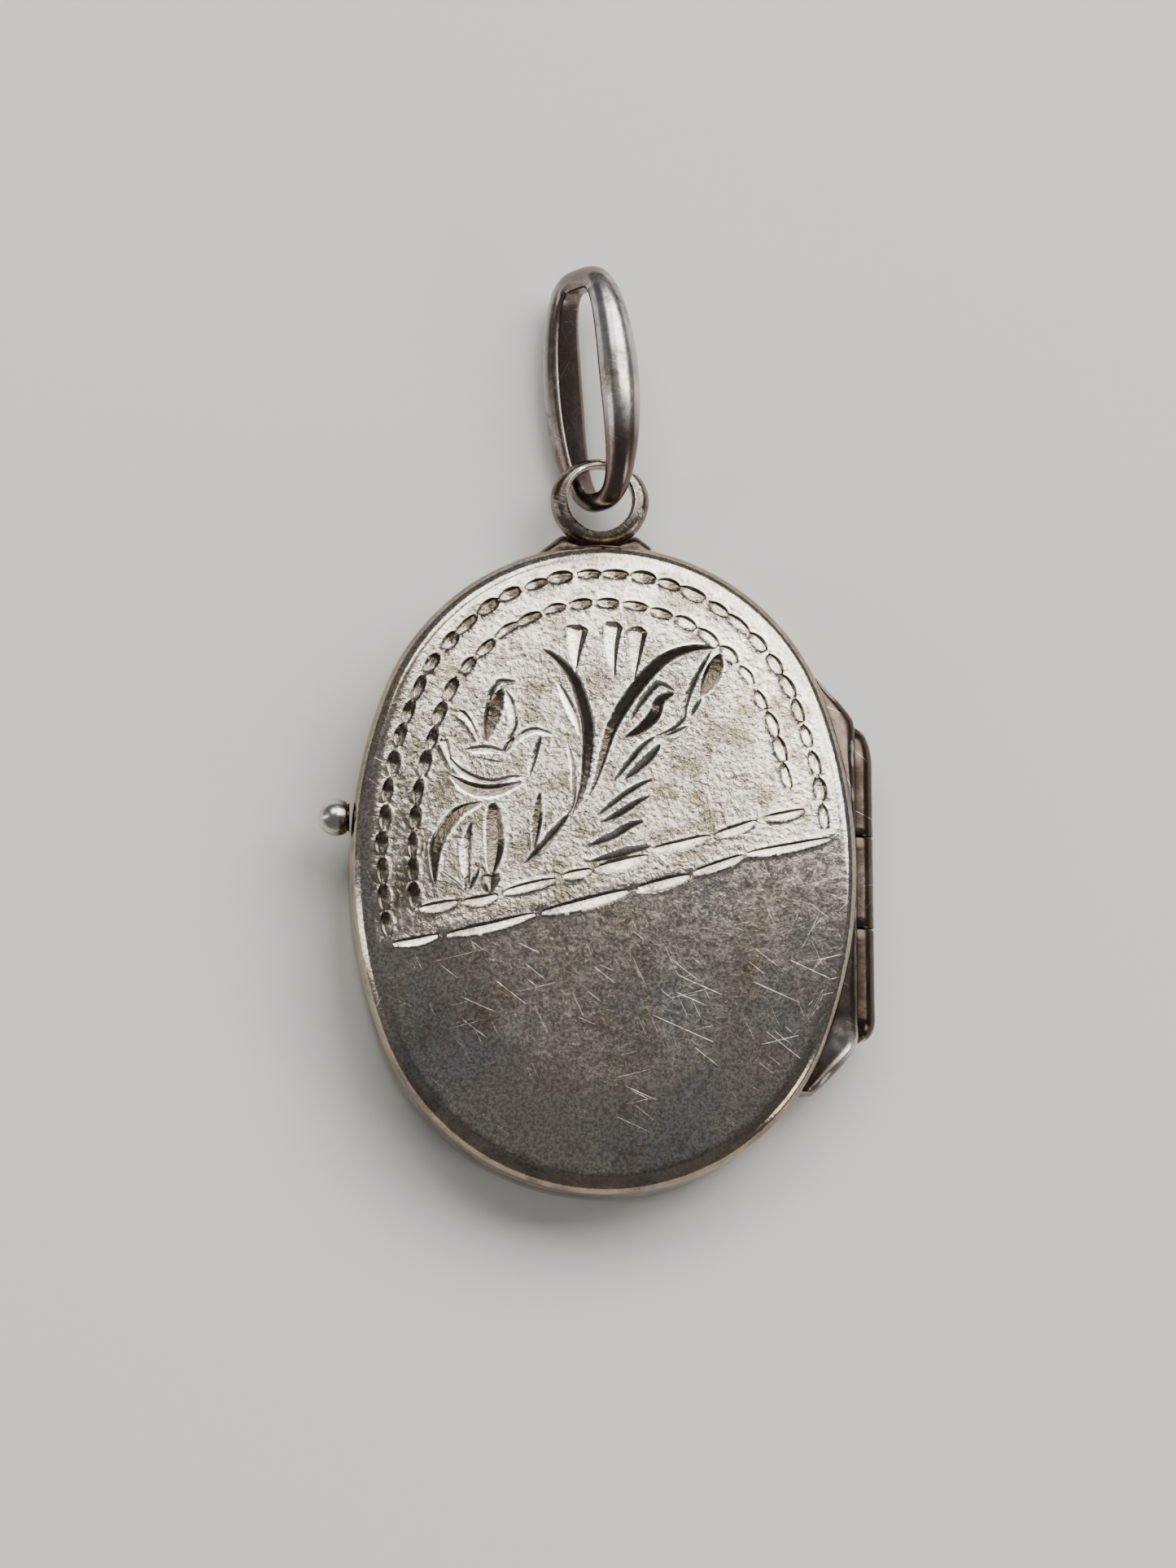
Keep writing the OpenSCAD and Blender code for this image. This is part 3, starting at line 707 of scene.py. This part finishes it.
# The section's points carried round the outline, a little dented
def wallRings(sign, stations, section):
    rings = []
    for off, z in section:
        for x, y, nx, ny in stations:
            sway = abs(ripple(x, y, sign, 0.35, 3.0)) * caseShape["dent"] * (1 if off > -0.6 else 0)
            px, py = x + nx * (off - sway), y + ny * (off - sway)
            rings.append((px, py, clearGutter(px, py, z)))
    return rings


# The face's points: close together where it is engraved, wide apart where it is plain
def facePoints(rim, cuts, rng):
    inside = caseShape["roll"] + 0.06
    plain = scatter(engraving["plainGround"], lambda p: insetOf(p[:, 0], p[:, 1]) > inside, rng)
    if not cuts:
        return np.concatenate([rim, plain])
    creases = creasePoints(cuts)
    creases = creases[insetOf(creases[:, 0], creases[:, 1]) > inside]
    fine = scatter(engraving["ground"], lambda p: (insetOf(p[:, 0], p[:, 1]) > inside)
                   & (p[:, 1] > groundLine(p[:, 0]) - 0.8), rng)
    tree = kdtree.KDTree(len(creases))
    for index, (x, y) in enumerate(creases):
        tree.insert((x, y, 0), index)
    tree.balance()
    fine = np.array([p for p in fine if tree.find((p[0], p[1], 0))[2] > engraving["clear"]])
    plain = plain[plain[:, 1] < groundLine(plain[:, 0]) - 0.9]
    return np.concatenate([rim, creases, fine, plain])


# The face as vertices, their marks and its triangles, and which vertex each point of the rim has become
def faceRelief(sign, rim, cuts, rng):
    count = len(rim)
    points = [Vector(p) for p in facePoints(rim, cuts, rng)]
    mesh = geometry.delaunay_2d_cdt(points, [], [list(range(count))], 1, 1e-5)
    made, triangles, origins = mesh[0], mesh[2], mesh[3]
    spots = np.array([tuple(p) for p in made])
    depth, lip, patinaAndShade = carve(spots, cuts)
    inset = insetOf(spots[:, 0], spots[:, 1])
    zone = np.clip((spots[:, 1] - groundLine(spots[:, 0])) / 0.3, 0, 1) * (1 if cuts else 0)
    zone = zone * np.clip((inset - caseShape["roll"]) / 0.2, 0, 1)
    heights = domeHeight(spots[:, 0], spots[:, 1])
    vertices, marks, joined = [], [], {}
    for index, (x, y) in enumerate(spots):
        onRim = [k for k in origins[index] if k < count]
        z = heights[index]
        if onRim:
            joined[onRim[0]] = index
            # Painted shade: a dark line along the lower part of the rim
            dark = coverLook["rimShade"] * clamp((-y - 3) / 5)
        else:
            quiet = min(1, (inset[index] - caseShape["roll"]) / 0.5)
            z += caseShape["dent"] * quiet * (ripple(x, y, sign, 0.22, 5.0) - 0.5)
            pebble = ripple(x, y, 0, 5.0) + 0.5 * ripple(x, y, 0, 10.0, 3.0)
            z += zone[index] * engraving["pebble"] * pebble * (1 if depth[index] == 0 else 0.3)
            z += engraving["lip"] * lip[index] * (1 if depth[index] < 0.004 else 0) - depth[index]
            dark = patinaAndShade[index] * 0.9
        vertices.append((x, y, min(z, halfT)))
        # Green carries patina and painted shade, blue the lips' painted highlight
        marks.append((zone[index], dark, lip[index] * (1 - dark) if depth[index] < 0.01 else 0, 0))
    return vertices, marks, [tuple(face) for face in triangles], joined


# One half of the case: sign 1 is the front and -1 the back, which is plain
def coverPiece(name, sign, body, node, seed):
    stations = ovalStations(0.16)
    section = panSection()
    count = len(stations)
    rings = wallRings(sign, stations, section)
    rim = np.array([(x, y) for x, y, z in rings[:count]])
    cuts = allCuts() if sign > 0 else []
    vertices, marks, faces, joined = faceRelief(sign, rim, cuts, random.Random(seed))
    shift = len(vertices) - count
    ringAt = {k: joined[k] if k < count else k + shift for k in range(len(rings))}
    vertices += rings[count:]
    for off, z in section[1:]:
        # Painted brown reflection on the walls, and on the roll towards the bottom
        wall = clamp((rollTop - 0.06 - z) / 0.3)
        brownReflections = [coverLook["rollReflection"] * clamp((-y - 4) / 5) for x, y, nx, ny in stations]
        marks += [(0, 0, 0, max(wall, brownReflection)) for brownReflection in brownReflections]
    around = ringFaces(len(section), count)
    around.append(tuple(range(len(rings) - count, len(rings))))
    faces += [tuple(ringAt[k] for k in reversed(face)) for face in around]
    placed = [(x, y, seamZ + sign * z) for x, y, z in vertices]
    if sign < 0:
        faces = flipped(faces)
    piece = buildPiece(name, placed, faces, silver["coverSilver"], body, node, 24)
    colours = piece.data.color_attributes.new("faceMap", "FLOAT_COLOR", "POINT")
    colours.data.foreach_set("color", np.array(marks, dtype=float).ravel())
    print(name, len(piece.data.polygons), "faces")


coverPiece("frontCover", 1, "front_half", "front_cover", 11)
coverPiece("backCover", -1, "back_half", "back_cover", 23)

# The bail is a tapered loop with a flat inner side; the angle q goes round it from the foot
bailShape = {
    "turn": 37, "halfWidth": 1.68, "length": 8.8, "foot": 0.7, "head": 0.55, "lean": 4.5, "shift": 0.05,
    "low": 0.44, "mid": 0.72, "top": 0.56, "wide": 0.1, "flat": 0.62, "soften": 0.08, "dent": 0.012,
    "steps": 220, "sides": 32, "ease": 10,
}

eyeLow, eyeHigh = boxMm("bail_eye")
eyeX, eyeY, eyeZ = (eyeLow + eyeHigh) / 2


# The middle of the bail's wire, squarer at the head than at the foot
def bailCentre(q):
    square = bailShape["foot"] if math.cos(q) > 0 else bailShape["head"]
    across = bailShape["halfWidth"] * math.copysign(abs(math.sin(q)) ** square, math.sin(q))
    turn = math.radians(bailShape["turn"])
    along = bailShape["length"] / 2 * (1 - math.cos(q))
    return Vector((across * math.sin(turn), along, across * math.cos(turn)))


def bailRadius(q):
    up = (1 - math.cos(q)) / 2
    swell = math.sin(math.pi * up)
    return (bailShape["low"] + (bailShape["top"] - bailShape["low"]) * up
            + (bailShape["mid"] - bailShape["low"]) * swell * 0.86)


# Steps lie closer together at the foot and the head, where the loop bends most
def bailAngle(step):
    steps = bailShape["steps"]
    return 2 * math.pi * step / steps - math.radians(bailShape["ease"]) * math.sin(4 * math.pi * step / steps)


def makeBail():
    turn = math.radians(bailShape["turn"])
    flat = Vector((math.cos(turn), 0, -math.sin(turn)))
    steps, sides = bailShape["steps"], bailShape["sides"]
    limit = -bailShape["flat"]
    vertices, tones = [], []
    for step in range(steps):
        q = bailAngle(step)
        centre = bailCentre(q)
        along = (bailCentre(bailAngle(step + 0.5)) - bailCentre(bailAngle(step - 0.5))).normalized()
        out = flat.cross(along)
        radius = bailRadius(q)
        wide = 1 + bailShape["wide"] * math.sin(q) ** 2
        up = (1 - math.cos(q)) / 2
        # Painted shade: the loop is darkened on its inner side, more on one limb than the other, and at its
        # foot where it enters the eye; its head is darkened a little too
        endsPaintedDark = max(clamp((0.42 - up) / 0.18), 0.8 * clamp((up - 0.93) / 0.07))
        for side in range(sides):
            s = 2 * math.pi * side / sides
            a, b = math.cos(s), math.sin(s)
            inner = clamp((0.3 - a) / 0.4) if math.sin(q) < 0 else clamp((-0.2 - a) / 0.2)
            if a < limit:
                a = limit + (a - limit) * bailShape["soften"]
            dent = 1 - bailShape["dent"] * (1 + ripple(*centre, 0.9, 2.0 + b))
            spot = centre + radius * dent * (out * a + flat * (b * wide))
            spot.x += bailShape["shift"]
            spot.rotate(Euler((0, 0, math.radians(bailShape["lean"]))))
            vertices.append((spot.x + eyeX, spot.y + eyeY, spot.z + eyeZ))
            tones.append((max(0.95 * inner, endsPaintedDark), 0, 0, 1))
    buildPiece("bailLoop", vertices, ringFaces(steps, sides, closed=True), silver["bailSilver"], "bail_body",
               "bail", 40, tones)


makeBail()


# Rings of a profile of (radius, height) about an axis; place says where a point of a ring goes
def turned(profile, steps, place, wobble=0.0):
    vertices = []
    for radius, height in profile:
        for step in range(steps):
            angle = 2 * math.pi * step / steps
            r = radius * (1 - wobble * (1 + ripple(math.cos(angle), math.sin(angle), height, 1.2, 4.0)))
            vertices.append(place(r * math.cos(angle), r * math.sin(angle), height))
    return vertices


eyeShape = {"hole": 1.28, "outer": 1.95, "thick": 0.85, "chamfer": 0.17, "crown": 1.42, "thinTop": 0.45,
            "steps": 112}


# The eye is thinner at its top than at its foot
def eyePoint(a, b, height):
    hole, radius = eyeShape["hole"], math.hypot(a, b)
    thin = 1 - eyeShape["thinTop"] * max(0, b / radius) ** 1.5
    scale = (hole + (radius - hole) * thin) / radius if radius > hole else 1
    return eyeX + a * scale, eyeY + b * scale, eyeZ + height


def makeEye():
    thick, crown, outer = eyeShape["thick"] / 2, eyeShape["crown"], eyeShape["outer"]
    hole, chamfer, steps = eyeShape["hole"], eyeShape["chamfer"], eyeShape["steps"]
    side = [(hole, thick - chamfer), (hole + 0.045, thick - chamfer * 0.5), (crown - 0.03, thick * 0.985)]
    profile = [(radius, -height) for radius, height in side]
    for step in range(25):
        angle = math.radians(-90 + 7.5 * step)
        height = math.copysign(abs(math.sin(angle)) ** 1.15, angle)
        profile.append((crown + (outer - crown) * max(0, math.cos(angle)) ** 0.9, thick * 0.97 * height))
    profile += side[::-1] + [(hole + 0.01, 0)]
    vertices = turned(profile, steps, eyePoint, 0.004)
    tones = []
    for x, y, z in vertices:
        # Painted highlight: the front edge of the hole is brightened, the rest dulled
        bright = z > eyeZ + 0.2 and math.hypot(x - eyeX, y - eyeY) < hole + 0.06
        tones.append((0.85, 0.9, 0, 1) if bright else (0.85, 0, 0.35, 1))
    buildPiece("bailEye", vertices, ringFaces(len(profile), steps, closed=True), silver["eyeSilver"],
               "back_half", "bail_eye", 28, tones)


makeEye()

# The saddle under the eye follows the top of the case and rises in the middle, from z0 at its back to z1
saddleShape = {"half": 3.6, "neck": 1.5, "rise": 0.75, "bury": 0.25, "z0": 0.6, "z1": 2.0, "flare": 2.0,
               "columns": 61, "sides": 20}


def makeSaddle():
    half, neck = saddleShape["half"], saddleShape["neck"]
    columns, sides = saddleShape["columns"], saddleShape["sides"]
    middleZ = (saddleShape["z0"] + saddleShape["z1"]) / 2
    halfZ = (saddleShape["z1"] - saddleShape["z0"]) / 2
    vertices = []
    for column in range(columns):
        x = half * (2 * column / (columns - 1) - 1)
        outline = endOff + math.sqrt(endR ** 2 - x ** 2)
        share = clamp((half - abs(x)) / (half - neck))
        top = outline + 0.03 + (halfH + saddleShape["rise"] - outline) * share ** saddleShape["flare"]
        low = outline - saddleShape["bury"]
        thin = 0.45 + 0.55 * min(1, share * 1.4)
        for side in range(sides):
            s = 2 * math.pi * side / sides
            a, b = math.cos(s), math.sin(s)
            y = (top + low) / 2 + (top - low) / 2 * math.copysign(abs(a) ** 0.8, a)
            z = middleZ + halfZ * thin * b * (1 - 0.05 * abs(ripple(x, y, 0, 1.3)))
            vertices.append((eyeX + x, y, z))
    faces = flipped(ringFaces(columns, sides) + endCaps(columns, sides))
    buildPiece("eyeSaddle", vertices, faces, silver["eyeSilver"], "back_half", "eye_base", 50,
               [(1, 0, 0.85, 1)] * len(vertices))


makeSaddle()


# The thumb ball stands on a fillet of solder, from its neck to its foot
ballShape = {"radius": 0.72, "neck": 0.5, "foot": 0.62, "steps": 48}


def makeBall():
    low, high = boxMm("thumb_ball")
    radius, steps = ballShape["radius"], ballShape["steps"]
    centreX, centreY, centreZ = low.x + radius, (low.y + high.y) / 2, (low.z + high.z) / 2
    reach = high.x - centreX
    profile = []
    for step in range(22):
        angle = math.radians(180 - 6.2 * step)
        profile.append((max(0.004, radius * math.sin(angle)), radius * math.cos(angle)))
    profile = [p for p in profile if p[1] < reach - 0.1]
    profile += [(ballShape["neck"], reach - 0.08), (ballShape["foot"], reach)]
    vertices = turned(profile, steps, lambda a, b, h: (centreX + h, centreY + a, centreZ + b), 0.006)
    faces = flipped(ringFaces(len(profile), steps) + endCaps(len(profile), steps))
    # Painted shade darkens the ball towards its neck, and a painted highlight brightens its half away from
    # the wall
    tones = [(clamp((x - centreX) / 0.4), 0.5 if x < centreX + 0.1 else 0, 0, 1) for x, y, z in vertices]
    buildPiece("thumbBall", vertices, faces, silver["eyeSilver"], "front_half", "thumb_ball",
               50, tones)


makeBall()
print("bail, eye and ball made")

# Three knuckles turn on a pin; nose is how long the upper and the lower knuckle taper
hingeShape = {"barrel": 0.7, "bore": 0.36, "edge": 0.06, "nose": (1.65, 0.9), "tip": 0.04, "steps": 56,
              "pin": 0.33, "pinInset": 0.6, "pinSteps": 32}


def alongHinge(a, b, height):
    return hingeX + a, height, seamZ + b


# Taper is 1 for a nose at the knuckle's upper end, -1 at its lower end and 0 for none
def makeKnuckle(name, node, body, taper):
    low, high = boxMm(node)
    edge, barrel, bore = hingeShape["edge"], hingeShape["barrel"], hingeShape["bore"]
    tip, steps = hingeShape["tip"], hingeShape["steps"]
    outer = []
    for end, way in ((low.y, 1), (high.y, -1)):
        if taper * way < 0:
            nose = hingeShape["nose"][0 if taper > 0 else 1]
            shares = [math.sin(step / 12 * math.pi / 2) for step in range(13)]
            outer.append([(max(tip, barrel * math.sqrt(1 - (1 - share) ** 2)), end + way * nose * share)
                          for share in shares])
        else:
            outer.append([(barrel - edge, end), (barrel - edge * 0.3, end + way * edge * 0.3),
                          (barrel, end + way * edge)])
    start, finish = outer[0][-1][1], outer[1][-1][1]
    heights = [start + (finish - start) * k / 9 for k in range(1, 9)]
    middle = [(barrel - 0.008 * (1 + ripple(0, height, 0, 1.7, 9.0)), height) for height in heights]
    first = [(bore, low.y + 0.5), (tip, low.y + 0.4)] if taper < 0 else [(bore, low.y)]
    last = [(tip, high.y - 0.4), (bore, high.y - 0.5)] if taper > 0 else [(bore, high.y)]
    profile = first + outer[0] + middle + outer[1][::-1] + last
    vertices = turned(profile, steps, alongHinge, 0.006)
    tones = [(0.8 + 0.4 * ripple(x, y, z, 0.4, 2.0), 0, 0.68, 1) for x, y, z in vertices]
    buildPiece(name, vertices, ringFaces(len(profile), steps, closed=True), silver["hingeSilver"], body,
               node, 35, tones)


def makePin():
    low, high = boxMm("hinge_pin")
    radius, steps = hingeShape["pin"], hingeShape["pinSteps"]
    y0, y1 = low.y + hingeShape["pinInset"], high.y - hingeShape["pinInset"]
    end = [(0.004, 0), (radius * 0.6, 0.03), (radius * 0.92, 0.1), (radius, 0.2)]
    profile = [(r, y0 + k) for r, k in end]
    profile += [(radius, y0 + 0.2 + (y1 - y0 - 0.4) * k / 6) for k in range(1, 6)]
    profile += [(r, y1 - k) for r, k in reversed(end)]
    faces = ringFaces(len(profile), steps) + endCaps(len(profile), steps)
    buildPiece("hingePin", turned(profile, steps, alongHinge), faces, silver["hingeSilver"], "back_half",
               "hinge_pin", 40)


# A bearer carries the knuckles and runs out into the wall: edgeX is its outer edge at edgeY from its middle
bearerShape = {
    "edgeY": (0, 6.0, 6.35, 6.65, 7.1, 7.9, 8.3), "edgeX": (9.85, 9.85, 9.8, 9.62, 9.27, 8.5, 8.0),
    "clear": 0.74, "straight": 6.35, "top": 1.26, "fall": 0.7, "low": 0.05, "reach": 8.2, "bury": 0.3,
    "rows": 96, "bends": 14, "solderY": -6.3,
}


def makeBearer(name, node, sign, body):
    rows, bends = bearerShape["rows"], bearerShape["bends"]
    clear, low, reach = bearerShape["clear"], bearerShape["low"], bearerShape["reach"]
    vertices, tones = [], []
    for row in range(rows):
        along = reach * (2 * row / (rows - 1) - 1)
        y = hingeY + along
        wallX = -sideOff + math.sqrt(sideR ** 2 - y ** 2)
        edgeX = float(np.interp(abs(along), bearerShape["edgeY"], bearerShape["edgeX"]))
        outX, inX = max(edgeX, wallX - 0.02), wallX - bearerShape["bury"]
        top = bearerShape["top"] - 0.2 * (abs(along) / reach) ** 3
        fall = min(bearerShape["fall"], top - 0.1) * (1 - 0.5 * max(0, abs(along) - 6) / 2.2)
        ring = [(inX, top)]
        for step in range(bends + 1):
            t = math.pi / 2 * step / bends
            x = wallX - 0.03 + (outX - wallX + 0.03) * math.sin(t)
            ring.append((x, fall + (top - fall) * math.cos(t)))
        ring += [(outX, fall + (low - fall) * k / 6) for k in range(1, 7)]
        ring += [(outX + (inX - outX) * k / 8, low) for k in range(1, 9)]
        for x, z in ring:
            away = math.hypot(x - hingeX, z)
            if away < clear and abs(along) < bearerShape["straight"]:
                x, z = hingeX + (x - hingeX) * clear / away, z * clear / away
            sway = 0.02 * ripple(x, y, z, 1.1, 6.0)
            vertices.append((x - abs(sway), y, seamZ + sign * z))
            solder = math.exp(-((along - bearerShape["solderY"]) / 0.8) ** 2) * clamp((x - wallX + 0.1) / 0.4)
            tones.append((0.75, solder * (0.5 + 0.5 * ripple(x, y, z, 3.0)), 0.6 * (1 - solder), 1))
    faces = ringFaces(rows, len(ring)) + endCaps(rows, len(ring))
    buildPiece(name, vertices, flipped(faces) if sign > 0 else faces, silver["hingeSilver"], body,
               node, 45, tones)


makeKnuckle("upperKnuckle", "hinge_knuckle_upper", "back_half", 1)
makeKnuckle("middleKnuckle", "hinge_knuckle_middle", "front_half", 0)
makeKnuckle("lowerKnuckle", "hinge_knuckle_lower", "back_half", -1)
makePin()
makeBearer("frontBearer", "front_hinge_bearer", 1, "front_half")
makeBearer("backBearer", "back_hinge_bearer", -1, "back_half")
print("hinge made")

# These keep their meshes from the frame and only get a finish
keptNodes = [
    (silver["innerSilver"], ["front_rim", "back_rim", "snap_collar", "front_retaining_ring",
                             "back_retaining_ring"]),
    (agedCard, ["front_card", "back_card"]),
    (windowGlass, ["front_window", "back_window"]),
]
for material, nodeNames in keptNodes:
    for nodeName in nodeNames:
        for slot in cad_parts[nodeName].material_slots:
            slot.material = material
print("kept pieces finished")

studio = {
    "lightColour": (1.0, 0.975, 0.93), "air": (0.19, 0.19, 0.195, 1),
    "floor": 1500, "gap": 0.02, "floorColour": (0.80, 0.78, 0.75, 1), "floorGrain": (0.70, 0.68, 0.65, 1),
    "lights": {
        "keyLight": {"place": (435, 448, 600), "aim": (435, 448, 0), "size": (780, 640), "power": 11},
        "bailLight": {"place": (-160, 440, 600), "aim": (-160, 440, 0), "size": (300, 360), "power": 2},
        "sideLight": {"place": (-600, 0, 200), "aim": (0, 0, 0), "size": (100, 500), "power": 0.6},
        "rimLight": {"place": (420, -220, 200), "aim": (0, 0, 0), "size": (120, 200), "power": 0.4},
    },
}


def makeFloor():
    half = studio["floor"] / 2 * mm
    mesh = bpy.data.meshes.new("floor")
    corners = [(-half, -half, 0), (half, -half, 0), (half, half, 0), (-half, half, 0)]
    mesh.from_pydata(corners, [], [(0, 1, 2, 3)])
    material, tree, shader, place = newMaterial("paleFloor")
    grain = noiseNode(tree, place, 0.8, 4.0)
    colour = tintNode(tree, grain, 0.08, studio["floorColour"], studio["floorGrain"])
    tree.links.new(colour, shader.inputs["Base Color"])
    shader.inputs["Roughness"].default_value = 0.8
    mesh.materials.append(material)
    floor = bpy.data.objects.new("floor", mesh)
    bpy.context.scene.collection.objects.link(floor)
    floor.location.z = cadLow[2] - studio["gap"] * mm


def lightStudio():
    for name, lamp in studio["lights"].items():
        data = bpy.data.lights.new(name, "AREA")
        data.shape = "RECTANGLE"
        data.size, data.size_y = lamp["size"][0] * mm, lamp["size"][1] * mm
        data.energy = lamp["power"]
        data.color = studio["lightColour"]
        light = bpy.data.objects.new(name, data)
        light.location = Vector(lamp["place"]) * mm
        beam = Vector(lamp["aim"]) - Vector(lamp["place"])
        light.rotation_euler = beam.to_track_quat("-Z", "Y").to_euler()
        bpy.context.scene.collection.objects.link(light)
    world = bpy.data.worlds.new("softAir")
    world.use_nodes = True
    world.node_tree.nodes["Background"].inputs["Color"].default_value = studio["air"]
    bpy.context.scene.world = world


makeFloor()
lightStudio()
print("studio ready")
